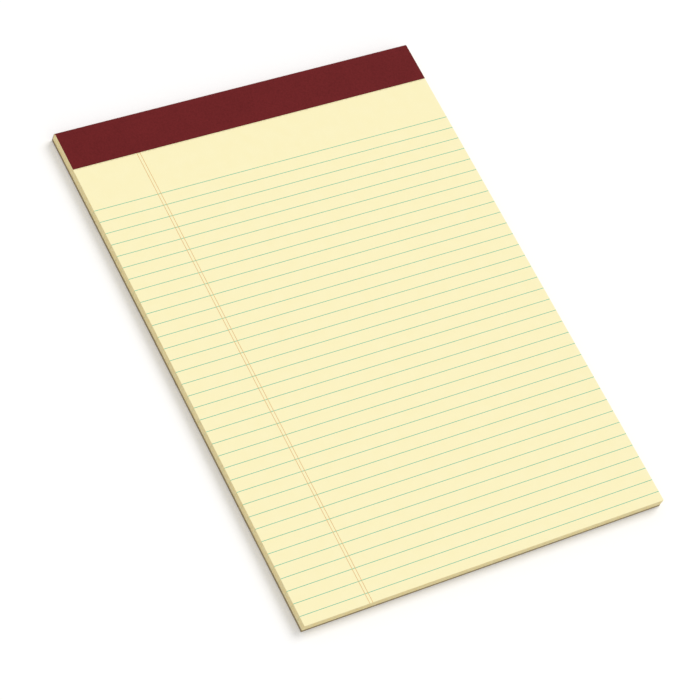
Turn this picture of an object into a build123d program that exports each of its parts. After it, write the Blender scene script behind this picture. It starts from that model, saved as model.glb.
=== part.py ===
"""Legal pad: fifty ruled sheets on a stiff chipboard back, stitched and taped along the head.

The pad lies on its back, with the origin in the middle of its underside. +Z is up out of the page,
+Y points to the taped head and +X to the right of the page. All sizes are in millimetres.
"""

import os

from build123d import *

# Pad
pad_width = 215.9
pad_length = 298.45
sheet_count = 50
sheet_caliper = 0.102
board_thickness = 1.5

# Binding tape, folded over the head
tape_thickness = 0.2
front_flap = 23.5
back_flap = 23.5
shoulder_radius = 1.3
crease_radius = 0.3

# Flat wire stitches through stub and board, under the tape
wire_width = 0.7
wire_thickness = 0.5
stitch_crown = 13.0
stitch_clinch = 4.5
stitch_bend = 0.8
stitch_spacing = 108.0
stitch_from_head = 10.0
stitch_clearance = 0.03

# Tear-off perforation, just clear of the tape
perforation_below_tape = 0.5
perforation_pitch = 3.175
slit_length = 2.4
slit_width = 0.1

# Print on the top sheet
ink_film = 0.02
rule_width = 0.3
rule_pitch = 7.14
first_rule_from_head = 50.0
foot_margin = 5.0
margin_rule_width = 0.3
margin_rule_gap = 1.75
margin_from_left = 37.2

# Places worked out from the sizes above
head_y = pad_length / 2 - tape_thickness
foot_y = -pad_length / 2
sheet_length = head_y - foot_y
sheet_centre_y = (head_y + foot_y) / 2
block_thickness = sheet_count * sheet_caliper
page_z = board_thickness + block_thickness
tape_edge_y = head_y - front_flap
left_x = -pad_width / 2


def stitch_wire(centre_x, clearance=0):
    """One flat wire stitch: a crown flush with the page, two legs, and ends clinched inwards."""
    crown_z = page_z - wire_thickness / 2
    clinch_z = tape_thickness + wire_thickness / 2
    leg = stitch_crown / 2
    tip = leg - stitch_clinch
    with BuildPart() as wire:
        with BuildLine(Plane.XZ.offset(stitch_from_head - head_y)) as path:
            FilletPolyline(
                (centre_x - tip, clinch_z),
                (centre_x - leg, clinch_z),
                (centre_x - leg, crown_z),
                (centre_x + leg, crown_z),
                (centre_x + leg, clinch_z),
                (centre_x + tip, clinch_z),
                radius=stitch_bend,
            )
        with BuildSketch(Plane(path.line @ 0, x_dir=(0, 1, 0), z_dir=path.line % 0)):
            Rectangle(wire_width + 2 * clearance, wire_thickness + 2 * clearance)
        sweep()
    return wire.part


stitch_centres = [-stitch_spacing / 2, stitch_spacing / 2]
stitch_channels = [stitch_wire(x, stitch_clearance) for x in stitch_centres]

# Chipboard back: the tape's back flap is pressed in flush, so that the underside is one plane
with BuildPart() as backing_board:
    with BuildSketch(Plane.XY):
        with Locations((0, sheet_centre_y)):
            Rectangle(pad_width, sheet_length)
    extrude(amount=board_thickness)
    with BuildSketch(Plane.XY):
        with Locations((0, head_y)):
            Rectangle(pad_width, back_flap, align=(Align.CENTER, Align.MAX))
    extrude(amount=tape_thickness, mode=Mode.SUBTRACT)
    head_edges = backing_board.edges().filter_by(Axis.X).group_by(Axis.Y)[-1]
    fillet(head_edges.sort_by(Axis.Z)[0], crease_radius)
    for channel in stitch_channels:
        add(channel, mode=Mode.SUBTRACT)

# Fifty sheets, trimmed together: the head's front edge is rounded where the tape is drawn over it
with BuildPart() as sheet_block:
    with BuildSketch(Plane.XY.offset(board_thickness)):
        with Locations((0, sheet_centre_y)):
            Rectangle(pad_width, sheet_length)
    extrude(amount=block_thickness)
    head_edges = sheet_block.edges().filter_by(Axis.X).group_by(Axis.Y)[-1]
    fillet(head_edges.sort_by(Axis.Z)[-1], shoulder_radius)
    slit_count = int((pad_width - slit_length) / perforation_pitch)
    with BuildSketch(Plane.XY.offset(board_thickness)):
        with Locations((0, tape_edge_y - perforation_below_tape)):
            with GridLocations(perforation_pitch, 0, slit_count, 1):
                Rectangle(slit_length, slit_width)
    extrude(amount=block_thickness, mode=Mode.SUBTRACT)
    for channel in stitch_channels:
        add(channel, mode=Mode.SUBTRACT)

# One strip of leatherette paper: front flap, spine and back flap
with BuildPart() as binding_tape:
    with BuildSketch(Plane.YZ):
        with BuildLine():
            outside = FilletPolyline(
                (tape_edge_y, page_z + tape_thickness),
                (head_y + tape_thickness, page_z + tape_thickness),
                (head_y + tape_thickness, 0),
                (head_y - back_flap, 0),
                radius=[shoulder_radius + tape_thickness, crease_radius + tape_thickness],
            )
            inside = FilletPolyline(
                (tape_edge_y, page_z),
                (head_y, page_z),
                (head_y, tape_thickness),
                (head_y - back_flap, tape_thickness),
                radius=[shoulder_radius, crease_radius],
            )
            Line(outside @ 0, inside @ 0)
            Line(outside @ 1, inside @ 1)
        make_face()
    extrude(amount=pad_width / 2, both=True)

# Two wire stitches, which hold the stub of every sheet to the board
with BuildPart() as wire_stitches:
    for x in stitch_centres:
        add(stitch_wire(x))

# Double margin rule, from the tape to the foot
margin_length = tape_edge_y - foot_y
margin_centres = [left_x + margin_from_left, left_x + margin_from_left + margin_rule_gap]
margin_places = [(x, (tape_edge_y + foot_y) / 2) for x in margin_centres]
with BuildPart() as margin_rules:
    with BuildSketch(Plane.XY.offset(page_z)):
        with Locations(*margin_places):
            Rectangle(margin_rule_width, margin_length)
    extrude(amount=ink_film)

# Writing rules, edge to edge, broken where the margin rule crosses them
ruled_length = sheet_length - first_rule_from_head - foot_margin
rule_count = int(ruled_length / rule_pitch) + 1
rule_places = [(0, head_y - first_rule_from_head - i * rule_pitch) for i in range(rule_count)]
with BuildPart() as ruling:
    with BuildSketch(Plane.XY.offset(page_z)):
        with Locations(*rule_places):
            Rectangle(pad_width, rule_width)
        with Locations(*margin_places):
            Rectangle(margin_rule_width, margin_length, mode=Mode.SUBTRACT)
    extrude(amount=ink_film)

os.makedirs("parts", exist_ok=True)
pieces = {
    "backing_board": backing_board,
    "sheet_block": sheet_block,
    "binding_tape": binding_tape,
    "wire_stitches": wire_stitches,
    "margin_rules": margin_rules,
    "ruling": ruling,
}
for name, piece in pieces.items():
    piece.part.label = name
    export_step(piece.part, f"parts/{name}.step")
print("rules", rule_count, "slits", slit_count, "pad", pad_width, pad_length, page_z + tape_thickness)
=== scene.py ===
# %% [markdown]
# # A yellow legal pad on a white table
# The solids of the pad come from its CAD model at their real size: a chipboard back, a block of sheets,
# a tape folded over the head, two hidden wire stitches and the ink of the ruling. This script gives each
# one the finish that the eye sees, and sets up a camera, a table and a light. Blender counts in metres,
# so a millimetre gets a name of its own.

# %% Load the solids
import math
import random

import bpy
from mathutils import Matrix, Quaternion, Vector


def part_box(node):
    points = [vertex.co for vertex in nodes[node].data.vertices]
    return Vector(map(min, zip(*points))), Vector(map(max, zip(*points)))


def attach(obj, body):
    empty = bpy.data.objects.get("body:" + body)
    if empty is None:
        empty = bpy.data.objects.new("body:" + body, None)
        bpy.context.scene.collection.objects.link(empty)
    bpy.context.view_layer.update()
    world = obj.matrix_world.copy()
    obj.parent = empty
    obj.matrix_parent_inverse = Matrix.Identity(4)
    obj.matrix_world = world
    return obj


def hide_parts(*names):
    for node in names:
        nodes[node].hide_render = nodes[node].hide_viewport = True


mm = 0.001
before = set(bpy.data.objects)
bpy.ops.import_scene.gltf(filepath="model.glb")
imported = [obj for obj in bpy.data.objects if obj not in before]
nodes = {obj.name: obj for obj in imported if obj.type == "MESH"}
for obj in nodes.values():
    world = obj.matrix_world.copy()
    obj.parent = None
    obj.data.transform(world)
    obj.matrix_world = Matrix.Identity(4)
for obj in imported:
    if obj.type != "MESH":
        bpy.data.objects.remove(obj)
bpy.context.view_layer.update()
print("solids:", ", ".join(sorted(nodes)))

# %% [markdown]
# ## The camera
# This is a product view: a long lens looks down on the page from beyond its lower left corner, and the
# camera is rolled, so that the pad leans in the picture. A constraint could aim the camera at a point,
# but the roll is easier to read as two turns: first look at the aim point, then turn about that line.

# %% Camera
block_low, block_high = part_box("sheet_block")
page_centre = Vector(((block_low.x + block_high.x) / 2, (block_low.y + block_high.y) / 2, block_high.z))
camera_from_page = Vector((-711.2, -560.4, 1255.7)) * mm
aim_from_page = Vector((-13.8, -16.8, 0.0)) * mm
camera_roll = math.radians(29.4)
focal_length = 153.8

camera_data = bpy.data.cameras.new("product_camera")
camera_data.lens = focal_length
camera = bpy.data.objects.new("product_camera", camera_data)
bpy.context.scene.collection.objects.link(camera)
line_of_sight = aim_from_page - camera_from_page
camera.location = page_centre + camera_from_page
camera.rotation_mode = "QUATERNION"
camera.rotation_quaternion = line_of_sight.to_track_quat("-Z", "Y") @ Quaternion((0, 0, 1), camera_roll)
bpy.context.scene.camera = camera
print(f"camera {line_of_sight.length:.2f} m from its aim, lens {focal_length} mm")

# %% [markdown]
# ## Colours and nodes
# Colours are written the way a designer reads them off a swatch, as sRGB hex values. Shaders calculate in
# linear light, so one function converts them. A second function adds any shader node: its options are
# named arguments, and each input is a number, a colour or the output of another node. An input goes by its
# name, or by its place where a node has several of one name. A Mix node has a pair of inputs for numbers
# and a pair for colours, so their places, and that of the colour it gives out, get names here.

# %% Colour and node helpers
factor = 0
number_a, number_b = 2, 3
colour_a, colour_b = 6, 7
mixed_colour = 2


def linear(hex_colour):
    """Turns an sRGB hex colour into the linear RGBA that shaders use."""
    shares = [int(hex_colour[i:i + 2], 16) / 255 for i in (1, 3, 5)]
    return [c / 12.92 if c <= 0.04045 else ((c + 0.055) / 1.055) ** 2.4 for c in shares] + [1.0]


def add_node(tree, kind, inputs, **options):
    """Adds one shader node with its options, and sets or links its inputs."""
    node = tree.nodes.new("ShaderNode" + kind)
    for option, value in options.items():
        setattr(node, option, value)
    for socket, value in inputs.items():
        if isinstance(value, bpy.types.NodeSocket):
            tree.links.new(value, node.inputs[socket])
        else:
            node.inputs[socket].default_value = value
    return node


def start_material(name):
    """Makes an empty material. Returns it, its node tree, and the place on the pad in metres."""
    material = bpy.data.materials.new(name)
    material.use_nodes = True
    material.node_tree.nodes.clear()
    place = add_node(material.node_tree, "TexCoord", {}).outputs["Object"]
    return material, material.node_tree, place


print("canary yellow in linear light:", [round(c, 3) for c in linear("#FCF3C4")])

# %% [markdown]
# ## The light
# The pad lies in a bright, soft studio. A sun lamp with a wide disc acts as a large softbox to the right:
# it lights the whole page evenly and leaves the left edge and a strip of table in a soft shade. The world
# fills in the rest. The two shares add up to one, so a white card on the table would render just white
# and every colour comes out about as it is written. Rays that look at the studio, from the camera or by
# way of a mirror or a glass, find it pure white.

# %% Key light and surroundings
key_share = 0.36
fill_share = 0.64
key_from = Vector((0.85, 0.35, 1.0)).normalized()
softbox_width = math.radians(35)

key_light = bpy.data.lights.new("key_softbox", "SUN")
key_light.angle = softbox_width
key_light.energy = math.pi * key_share / key_from.z
key = bpy.data.objects.new("key_softbox", key_light)
key.rotation_mode = "QUATERNION"
key.rotation_quaternion = key_from.to_track_quat("Z", "Y")
bpy.context.scene.collection.objects.link(key)


def looking(tree):
    """One for a ray that looks at the studio, straight or by way of a mirror or a glass, else zero."""
    ray = add_node(tree, "LightPath", {}).outputs
    direct = add_node(tree, "Math", {0: ray["Is Camera Ray"], 1: ray["Is Glossy Ray"]}, operation="MAXIMUM")
    either = {0: direct.outputs[0], 1: ray["Is Transmission Ray"]}
    return add_node(tree, "Math", either, operation="MAXIMUM").outputs[0]


world = bpy.data.worlds.new("white_studio")
world.use_nodes = True
tree = world.node_tree
tree.nodes.clear()
bpy.context.scene.world = world
level = add_node(tree, "MapRange", {"Value": looking(tree), "To Min": fill_share, "To Max": 1.0})
sky = add_node(tree, "Background", {"Color": linear("#FFFFFF"), "Strength": level.outputs[0]})
add_node(tree, "OutputWorld", {"Surface": sky.outputs[0]})
bpy.context.scene.view_settings.view_transform = "Standard"
print(f"key {key_light.energy:.2f} W/m2, fill {fill_share}")

# %% [markdown]
# ## The table
# A white paper sweep reflects about nine tenths of its light, which a camera would show as pale grey. In a
# product picture it is pure white, so rays from the camera find a little glow added to it. The glow lights
# nothing, and the pad's soft shadow stays on the table.

# %% Table
table_reach = 3.0
table_glow = 0.14
under_the_pad = 0.02 * mm

sweep, tree, _ = start_material("white_paper_sweep")
glow = add_node(tree, "Math", {0: looking(tree), 1: table_glow}, operation="MULTIPLY")
shader = add_node(tree, "BsdfPrincipled", {
    "Base Color": linear("#F3F2F1"),
    "Roughness": 0.9,
    "Specular IOR Level": 0.0,
    "Emission Color": linear("#FFFFFF"),
    "Emission Strength": glow.outputs[0],
})
add_node(tree, "OutputMaterial", {"Surface": shader.outputs[0]})

corner_signs = ((-1, -1), (1, -1), (1, 1), (-1, 1))
corners = [(x * table_reach, y * table_reach, -under_the_pad) for x, y in corner_signs]
table_mesh = bpy.data.meshes.new("table")
table_mesh.from_pydata(corners, [], [(0, 1, 2, 3)])
table_mesh.materials.append(sweep)
table = bpy.data.objects.new("table", table_mesh)
bpy.context.scene.collection.objects.link(table)
print(f"table {2 * table_reach:.0f} m wide")

# %% [markdown]
# ## Writing paper
# The page is uncoated canary paper, pressed flat between rollers. It is matt, with a trace of sheen, and its
# colour is cloudy on a scale of millimetres, because fibres never settle quite evenly. The cloudiness is
# a noise between two close yellows. A finer noise, drawn coarser than real fibres so that it shows,
# gives the tooth that a pencil would feel.

# %% Canary writing paper
cloud_size = 7 * mm
fibre_size = 0.6 * mm
fibre_share = 0.4
tooth_height = 0.015 * mm

writing_paper, tree, place = start_material("canary_writing_paper")
cloud = add_node(tree, "TexNoise", {"Vector": place, "Scale": 1 / cloud_size, "Detail": 3.0})
fibre = add_node(tree, "TexNoise", {"Vector": place, "Scale": 1 / fibre_size, "Detail": 2.0})
blend = {factor: fibre_share, number_a: cloud.outputs[0], number_b: fibre.outputs[0]}
tone = add_node(tree, "Mix", blend)
colour = add_node(tree, "Mix", {
    factor: tone.outputs[0],
    colour_a: linear("#FBF0BB"),
    colour_b: linear("#FDF5C9"),
}, data_type="RGBA")
tooth = add_node(tree, "Bump", {"Height": fibre.outputs[0], "Strength": 0.3, "Distance": tooth_height})
shader = add_node(tree, "BsdfPrincipled", {
    "Base Color": colour.outputs[mixed_colour],
    "Roughness": 0.85,
    "IOR": 1.5,
    "Specular IOR Level": 0.2,
    "Normal": tooth.outputs[0],
})
add_node(tree, "OutputMaterial", {"Surface": shader.outputs[0]})
print("material:", writing_paper.name)

# %% [markdown]
# ## Cut paper edges
# A guillotine trims the whole block in one stroke. The edge colours are, on the whole, deeper and warmer
# than the page: that is painted shade and inter-reflection from the gaps between the stacked sheets. No two
# sheets come out quite alike: each edge is a line of its own tone, long bands run along the block where the
# knife pulled at several sheets together, and short nicks mottle it. The height tells which sheet a point
# is on, and that number steers all three, so that every tone ends where its sheet does: a random number for
# the lines, and two noises, one long and one short, for the rest. Bands and nicks are several sheets thick
# so that they show from a step away. A noise seldom strays far from its middle, so its usual range is
# spread out to the full one. Every sheet is ruled out to its edge, so the ink leaves a faint tick on the
# cut at each line, never at quite the same place.

# %% Cut edges of the sheets
sheet_count = 50
band_length = 90 * mm
sheets_in_band = 5
band_share = 0.5
nick_length = 2.5 * mm
sheets_in_nick = 9
nick_share = 0.35
rule_pitch = 7.14 * mm
first_rule_from_head = 50.0 * mm
rule_width = 0.3 * mm
tick_strength = 0.3
tick_scatter = 0.3 * mm

sheet_pitch = (block_high.z - block_low.z) / sheet_count
cut_edge, tree, place = start_material("cut_paper_edge")
across, along, height = add_node(tree, "SeparateXYZ", {"Vector": place}).outputs
above_board = add_node(tree, "Math", {0: height, 1: block_low.z}, operation="SUBTRACT")
in_sheets = add_node(tree, "Math", {0: above_board.outputs[0], 1: sheet_pitch}, operation="DIVIDE")
number = add_node(tree, "Math", {0: in_sheets.outputs[0]}, operation="FLOOR")
line = add_node(tree, "TexWhiteNoise", {"W": number.outputs[0]}, noise_dimensions="1D")
by_sheet = add_node(tree, "CombineXYZ", {"X": across, "Y": along, "Z": number.outputs[0]})
tone = line.outputs["Value"]
bands = (band_length, sheets_in_band, band_share)
nicks = (nick_length, sheets_in_nick, nick_share)
for length, sheets_thick, share in (bands, nicks):
    scale = (1 / length, 1 / length, 1 / sheets_thick)
    stretched = add_node(tree, "VectorMath", {0: by_sheet.outputs[0], 1: scale}, operation="MULTIPLY")
    noise = add_node(tree, "TexNoise", {"Vector": stretched.outputs[0], "Scale": 1.0, "Detail": 2.0})
    spread = add_node(tree, "MapRange", {"Value": noise.outputs[0], "From Min": 0.3, "From Max": 0.7})
    blend = {factor: share, number_a: tone, number_b: spread.outputs[0]}
    tone = add_node(tree, "Mix", blend).outputs[0]
# The two edge colours hold painted shade: they are deeper and warmer than the page for the gaps between
# sheets.
edge_tone_and_painted_shade = add_node(tree, "Mix", {
    factor: tone,
    colour_a: linear("#F9DA8D"),
    colour_b: linear("#FFFCDA"),
}, data_type="RGBA")
first_rule = block_high.y - first_rule_from_head
off_register = {0: line.outputs["Value"], 1: tick_scatter, 2: first_rule - tick_scatter / 2}
sheet_first = add_node(tree, "Math", off_register, operation="MULTIPLY_ADD")
below_first = add_node(tree, "Math", {0: sheet_first.outputs[0], 1: along}, operation="SUBTRACT")
to_rule = add_node(tree, "Math", {0: below_first.outputs[0], 1: rule_pitch / 2}, operation="PINGPONG")
on_rule = add_node(tree, "Math", {0: to_rule.outputs[0], 1: rule_width / 2}, operation="LESS_THAN")
ruled = add_node(tree, "Math", {0: below_first.outputs[0], 1: -rule_width / 2}, operation="GREATER_THAN")
tick = add_node(tree, "Math", {0: on_rule.outputs[0], 1: ruled.outputs[0]}, operation="MULTIPLY")
tick = add_node(tree, "Math", {0: tick.outputs[0], 1: tick_strength}, operation="MULTIPLY")
colour = add_node(tree, "Mix", {
    factor: tick.outputs[0],
    colour_a: edge_tone_and_painted_shade.outputs[mixed_colour],
    colour_b: linear("#72C49F"),
}, data_type="RGBA")
shader = add_node(tree, "BsdfPrincipled", {
    "Base Color": colour.outputs[mixed_colour],
    "Roughness": 0.95,
    "IOR": 1.5,
    "Specular IOR Level": 0.1,
})
add_node(tree, "OutputMaterial", {"Surface": shader.outputs[0]})
print("material:", cut_edge.name)

# %% [markdown]
# ## Fifty sheets
# The CAD model has the sheets as one block. Here the block becomes fifty real sheets, so that its sides are
# made of paper edges. Each sheet is a flat outline with the tear-off slits and the slots for the stitches
# left open, and a Solidify modifier gives all of them their thickness and puts the cut-edge material on
# the rims. A Boolean could cut the openings, but panels joined by bridges need no cutting. The knife never
# leaves the edges quite even, so each sheet is set back by a few hundredths of a millimetre, more in some
# groups than in others, and its edges wander a little. The top sheet keeps the outline of the print, less
# a few thousandths, so that its edge doesn't share a plane with the end of the tape.

# %% Sizes of the sheets
paper_thickness = 0.096 * mm
most_set_back = 0.12 * mm
least_set_back = 0.005 * mm
edge_wander = 0.02 * mm
wander_length = 80 * mm
side_steps = 24
foot_steps = 18
shoulder_radius = 1.3 * mm
slit_pitch = 3.175 * mm
slit_length = 2.4 * mm
slit_width = 0.1 * mm
slits_below_tape = 0.5 * mm

tape_low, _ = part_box("binding_tape")
slit_middle = tape_low.y - slits_below_tape
slit_bottom = slit_middle - slit_width / 2
slit_top = slit_middle + slit_width / 2
slit_count = int((block_high.x - block_low.x - slit_length) / slit_pitch)
slit_ends = []
for i in range(slit_count):
    middle = (i - (slit_count - 1) / 2) * slit_pitch
    slit_ends += [middle - slit_length / 2, middle + slit_length / 2]
print(f"{sheet_count} sheets, {sheet_pitch / mm:.3f} mm apart, {slit_count} slits each")

# %% Slots for the stitches
wire_thickness = 0.5 * mm
stitch_spacing = 108 * mm
stitch_bend = 0.8 * mm
stitch_clearance = 0.03 * mm

wire_low, wire_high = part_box("wire_stitches")
slot_bottom = wire_low.y - stitch_clearance
slot_top = wire_high.y + stitch_clearance
bend_centre_x = wire_high.x - stitch_spacing / 2 - wire_thickness / 2 - stitch_bend
bend_centre_z = wire_high.z - wire_thickness / 2 - stitch_bend
inner_bend = stitch_bend - wire_thickness / 2 - stitch_clearance
outer_bend = stitch_bend + wire_thickness / 2 + stitch_clearance


def slot_ends(top_z):
    """Ends of the slots in one sheet: one slot for each leg, or near the page one for the whole crown."""
    reaches = []
    for radius, z in ((inner_bend, top_z), (outer_bend, top_z - paper_thickness)):
        rise = max(0.0, z - bend_centre_z)
        if rise < radius:
            reaches.append(bend_centre_x + math.sqrt(radius**2 - rise**2))
    ends = []
    for middle in (-stitch_spacing / 2, stitch_spacing / 2):
        ends += [middle - reach for reach in reversed(reaches)] + [middle + reach for reach in reaches]
    return ends


slot_counts = [len(slot_ends(z)) // 2 for z in (block_low.z + sheet_pitch, block_high.z)]
print("slots in the lowest sheet and in the top one:", *slot_counts)

# %% Uneven edges
knife_seed = 11

draw = random.Random(knife_seed)


def set_backs():
    """How far each sheet lies behind the outline. Neighbours are alike, and the top one is nearly flush."""
    raw = [draw.random() for _ in range(sheet_count + 2)]
    smooth = [(raw[i] + raw[i + 1] + raw[i + 2]) / 3 for i in range(sheet_count)]
    return [most_set_back * s for s in smooth[:-1]] + [least_set_back]


def head_of(middle_z):
    """Where a sheet ends under the tape, which rounds off the head's front edge."""
    depth = block_high.z - middle_z
    if depth >= shoulder_radius:
        return block_high.y
    reach = math.sqrt(shoulder_radius**2 - (shoulder_radius - depth) ** 2)
    return block_high.y - shoulder_radius + reach


left_backs, right_backs, foot_backs = set_backs(), set_backs(), set_backs()
print(f"edges set back by up to {max(left_backs + right_backs + foot_backs) / mm:.2f} mm")


# %% One sheet
def sheet_outline(number):
    """Points and faces of one flat sheet: three panels, joined by the bridges between slits and slots."""
    top_z = block_low.z + (number + 1) * sheet_pitch
    phase = draw.uniform(0, math.tau)
    wander = edge_wander if number < sheet_count - 1 else 0.0
    points, faces = [], []

    def edge(outline, inward, set_back, along):
        wave = math.sin(along / wander_length * math.tau + phase)
        return outline + inward * (set_back + wander * (1 + wave))

    def left(y):
        return edge(block_low.x, 1, left_backs[number], y), y

    def right(y):
        return edge(block_high.x, -1, right_backs[number], y), y

    def foot(x):
        return x, edge(block_low.y, 1, foot_backs[number], x)

    def add_points(places):
        first = len(points)
        points.extend((x, y, top_z) for x, y in places)
        return list(range(first, len(points)))

    width = block_high.x - block_low.x
    foot_left = left(block_low.y)[0], foot(block_low.x)[1]
    foot_right = right(block_low.y)[0], foot(block_high.x)[1]
    foot_row = [foot(block_low.x + width * i / foot_steps) for i in range(1, foot_steps)]
    rise = slit_bottom - block_low.y
    side_heights = [block_low.y + rise * i / side_steps for i in range(1, side_steps)]
    near = add_points([foot_left, *foot_row, foot_right])
    right_side = add_points(right(y) for y in side_heights)
    left_side = add_points(left(y) for y in reversed(side_heights))
    slits = (slit_bottom, slit_top, slit_ends)
    slots = (slot_bottom, slot_top, slot_ends(top_z))
    for bottom, top, ends in (slits, slots):
        lower = add_points([left(bottom), *((x, bottom) for x in ends), right(bottom)])
        upper = add_points([left(top), *((x, top) for x in ends), right(top)])
        faces.append([*near, *right_side, *reversed(lower), *left_side])
        faces += [[lower[i], lower[i + 1], upper[i + 1], upper[i]] for i in range(0, len(lower), 2)]
        near, right_side, left_side = upper, [], []
    head = head_of(top_z - sheet_pitch / 2)
    faces.append([*near, *add_points([right(head), left(head)])])
    return points, faces


points, faces = sheet_outline(sheet_count - 1)
print(f"one sheet has {len(points)} points and {len(faces)} faces")

# %% Stack the sheets
rim_slot = 1

points, faces = [], []
for number in range(sheet_count):
    sheet_points, sheet_faces = sheet_outline(number)
    faces += [[len(points) + i for i in face] for face in sheet_faces]
    points += sheet_points
sheets_mesh = bpy.data.meshes.new("sheets")
sheets_mesh.from_pydata(points, [], faces)
sheets_mesh.materials.append(writing_paper)
sheets_mesh.materials.append(cut_edge)
sheets = bpy.data.objects.new("sheets", sheets_mesh)
bpy.context.scene.collection.objects.link(sheets)
thickness = sheets.modifiers.new("paper_thickness", "SOLIDIFY")
thickness.thickness = paper_thickness
thickness.offset = -1
thickness.material_offset_rim = rim_slot
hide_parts("sheet_block")
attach(sheets, "root")
print(f"sheets: {len(points)} points, {len(faces)} faces")

# %% [markdown]
# ## A map for baked textures
# The render needs no UV map, because the patterns are worked out in space. A model that goes to another
# program has them baked into images, though. An automatic map would give every hidden face as much room
# as the page and the thin edges none, so the sheets bring a map under the name that the export looks for.
# The page fills most of it, each cut side is unrolled into a strip of its own, and whatever is hidden
# between the sheets shares one corner. Only faces can be mapped, so the thickness is applied first.

# %% Lay out the map
edge_zone = 1 * mm
strip_count = 3
left_strip, right_strip, foot_strip = range(strip_count)
strip_fill = 0.9
hidden_start = 0.75

depsgraph = bpy.context.evaluated_depsgraph_get()
sheets.data = bpy.data.meshes.new_from_object(sheets.evaluated_get(depsgraph))
sheets.modifiers.clear()
sheet_length = block_high.y - block_low.y
page_share = (block_high.x - block_low.x) / sheet_length
strip_share = (1 - page_share) / strip_count


def on_strip(strip, share):
    """Height on the map of a point that lies at a share, from 0 to 1, of the width of a strip."""
    return page_share + strip_share * (strip + (1 - strip_fill) / 2 + strip_fill * share)


def place_on_map(face, point):
    """Where a corner of a face lies on the map."""
    along = (point.y - block_low.y) / sheet_length
    across = (point.x - block_low.x) / sheet_length
    up = (point.z - block_low.z) / (block_high.z - block_low.z)
    cut = face.material_index == rim_slot
    if cut and face.center.x < block_low.x + edge_zone:
        return along, on_strip(left_strip, up)
    if cut and face.center.x > block_high.x - edge_zone:
        return along, on_strip(right_strip, up)
    if cut and face.center.y < block_low.y + edge_zone:
        return across, on_strip(foot_strip, up)
    if not cut and face.normal.z > 0 and face.center.z > block_high.z - sheet_pitch / 2:
        return along, across
    return hidden_start + (1 - hidden_start) * along, on_strip(foot_strip, across / page_share)


bake_map = sheets.data.uv_layers.new(name="OFBake")
for face in sheets.data.polygons:
    for corner in face.loop_indices:
        point = sheets.data.vertices[sheets.data.loops[corner].vertex_index].co
        bake_map.uv[corner].vector = place_on_map(face, point)
print(f"map: the page takes {page_share:.0%}, each strip {strip_share:.0%}")

# %% [markdown]
# ## Printed ink
# The ruling is thin green ink, and the double margin rule is a pale orange one. Ink on uncoated paper sinks
# in and stays matt, and its density changes a little along the line as the roller inks it. The lines are
# solids of the CAD model, a film thinner than a hair, so they only need their colour.

# %% Rule ink and margin ink
ink_patch = 1.5 * mm


def printed_ink(name, full, thin):
    """Matt ink that varies between its full and its thin colour."""
    ink, tree, place = start_material(name)
    density = add_node(tree, "TexNoise", {"Vector": place, "Scale": 1 / ink_patch, "Detail": 2.0})
    range_of_ink = {factor: density.outputs[0], colour_a: linear(full), colour_b: linear(thin)}
    colour = add_node(tree, "Mix", range_of_ink, data_type="RGBA")
    shader = add_node(tree, "BsdfPrincipled", {
        "Base Color": colour.outputs[mixed_colour],
        "Roughness": 0.85,
        "Specular IOR Level": 0.2,
    })
    add_node(tree, "OutputMaterial", {"Surface": shader.outputs[0]})
    return ink


def dress(node, material):
    """Gives a CAD solid its finish."""
    nodes[node].data.materials.clear()
    nodes[node].data.materials.append(material)


dress("ruling", printed_ink("green_rule_ink", "#50B896", "#6CCAAB"))
dress("margin_rules", printed_ink("pale_orange_margin_ink", "#DCAC66", "#E8C284"))
for name in ("ruling", "margin_rules"):
    print("inked:", name, "with", nodes[name].data.materials[0].name)

# %% [markdown]
# ## Binding tape
# The tape is leatherette: strong paper, dyed maroon through, and embossed by a roller with a fine grain. It
# is matt and dark, and the grain breaks up what little sheen it has. Cells of a Voronoi texture stand for
# the pebbles of the grain, half as coarse again as real ones so that they show. The valleys between them
# are painted darker, as painted shade in the hollows, and a slow noise gives the dye a slight cloudiness.

# %% Maroon leatherette
pebble_size = 0.75 * mm
pebble_height = 0.05 * mm
dye_cloud = 14 * mm
valley_shade_share = 0.6

leatherette, tree, place = start_material("maroon_leatherette_paper")
pebble = add_node(tree, "TexVoronoi", {"Vector": place, "Scale": 1 / pebble_size}, feature="SMOOTH_F1")
cloud = add_node(tree, "TexNoise", {"Vector": place, "Scale": 1 / dye_cloud, "Detail": 3.0})
depth = add_node(tree, "MapRange", {"Value": pebble.outputs["Distance"], "From Max": 0.8})
blend = {factor: valley_shade_share, number_a: cloud.outputs[0], number_b: depth.outputs[0]}
cloud_and_valley_shade = add_node(tree, "Mix", blend)
# The valleys get the darker maroon: painted shade in the hollows of the grain.
colour = add_node(tree, "Mix", {
    factor: cloud_and_valley_shade.outputs[0],
    colour_a: linear("#742022"),
    colour_b: linear("#5E1517"),
}, data_type="RGBA")
grain = add_node(tree, "Bump", {
    "Height": pebble.outputs["Distance"],
    "Strength": 0.6,
    "Distance": pebble_height,
}, invert=True)
shader = add_node(tree, "BsdfPrincipled", {
    "Base Color": colour.outputs[mixed_colour],
    "Roughness": 0.65,
    "IOR": 1.5,
    "Specular IOR Level": 0.07,
    "Normal": grain.outputs[0],
})
add_node(tree, "OutputMaterial", {"Surface": shader.outputs[0]})
dress("binding_tape", leatherette)
print("material:", leatherette.name)

# %% [markdown]
# ## Chipboard back
# The back is board pressed from waste paper: a dull grey-brown pulp with darker and paler fibres in it, all
# lying one way, and layers that show as streaks on its cut edges. A plain noise makes the pulp. Two more,
# each stretched to the size of what it stands for, make the layers and the fibres, and only the extremes
# of the last one count, dark at one end and pale at the other.

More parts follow.
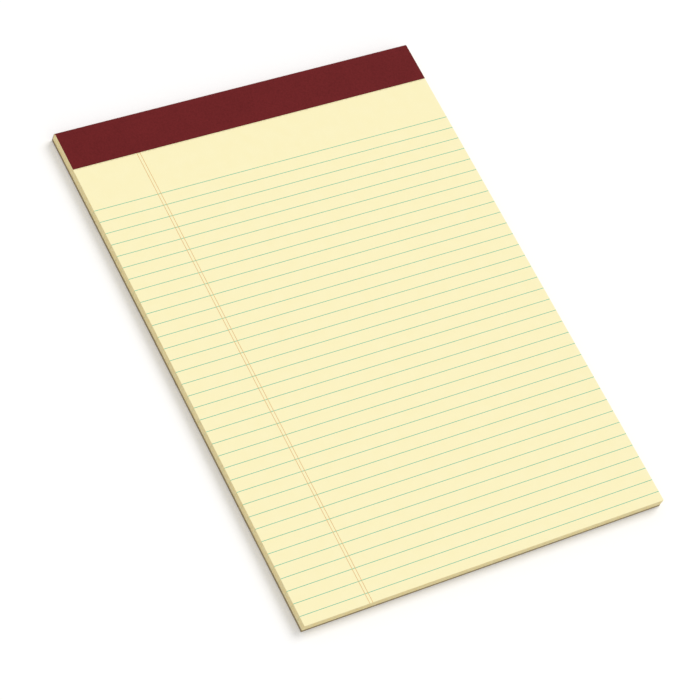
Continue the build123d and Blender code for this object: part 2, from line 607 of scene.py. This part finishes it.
# %% Grey-brown chipboard
pulp_size = 5 * mm
pulp_relief = 0.03 * mm
layer_size = (150 * mm, 150 * mm, 0.3 * mm)
layer_share = 0.4
fibre_bundle = (1.8 * mm, 0.4 * mm, 0.12 * mm)
# Noise at which fibres begin and at which they are full, how much they then cover, and their colour
dark_fibres = (0.58, 0.72, 0.6, "#6B5E46")
pale_fibres = (0.42, 0.28, 0.5, "#D6CBAE")

chipboard, tree, place = start_material("grey_brown_chipboard")
pulp = add_node(tree, "TexNoise", {"Vector": place, "Scale": 1 / pulp_size, "Detail": 5.0})
streaks = []
for size in (layer_size, fibre_bundle):
    scale = [1 / side for side in size]
    stretched = add_node(tree, "VectorMath", {0: place, 1: scale}, operation="MULTIPLY")
    noise = add_node(tree, "TexNoise", {"Vector": stretched.outputs[0], "Scale": 1.0, "Detail": 2.0})
    streaks.append(noise.outputs[0])
layer, fibre = streaks
mixed = add_node(tree, "Mix", {factor: layer_share, number_a: pulp.outputs[0], number_b: layer})
spread = add_node(tree, "MapRange", {"Value": mixed.outputs[0], "From Min": 0.25, "From Max": 0.75})
colour = add_node(tree, "Mix", {
    factor: spread.outputs[0],
    colour_a: linear("#938260"),
    colour_b: linear("#B2A17C"),
}, data_type="RGBA")
for begin, full, cover, tint in (dark_fibres, pale_fibres):
    extreme = {"Value": fibre, "From Min": begin, "From Max": full, "To Max": cover}
    amount = add_node(tree, "MapRange", extreme)
    tinted = {factor: amount.outputs[0], colour_a: colour.outputs[mixed_colour], colour_b: linear(tint)}
    colour = add_node(tree, "Mix", tinted, data_type="RGBA")
relief = add_node(tree, "Bump", {"Height": pulp.outputs[0], "Strength": 0.3, "Distance": pulp_relief})
shader = add_node(tree, "BsdfPrincipled", {
    "Base Color": colour.outputs[mixed_colour],
    "Roughness": 0.9,
    "IOR": 1.5,
    "Specular IOR Level": 0.15,
    "Normal": relief.outputs[0],
})
add_node(tree, "OutputMaterial", {"Surface": shader.outputs[0]})
dress("backing_board", chipboard)
print("material:", chipboard.name)

# %% [markdown]
# ## Stitching wire
# Two stitches of flat galvanised wire hold the sheets to the back. The tape hides them, so they get a plain
# zinc finish: a metal with a medium roughness that a noise makes patchy.

# %% Galvanised wire
zinc_patch = 0.8 * mm

zinc, tree, place = start_material("galvanised_wire")
patch = add_node(tree, "TexNoise", {"Vector": place, "Scale": 1 / zinc_patch, "Detail": 2.0})
roughness = add_node(tree, "MapRange", {"Value": patch.outputs[0], "To Min": 0.3, "To Max": 0.5})
shader = add_node(tree, "BsdfPrincipled", {
    "Base Color": linear("#C4C7C9"),
    "Metallic": 1.0,
    "Roughness": roughness.outputs[0],
})
add_node(tree, "OutputMaterial", {"Surface": shader.outputs[0]})
dress("wire_stitches", zinc)
print("material:", zinc.name)
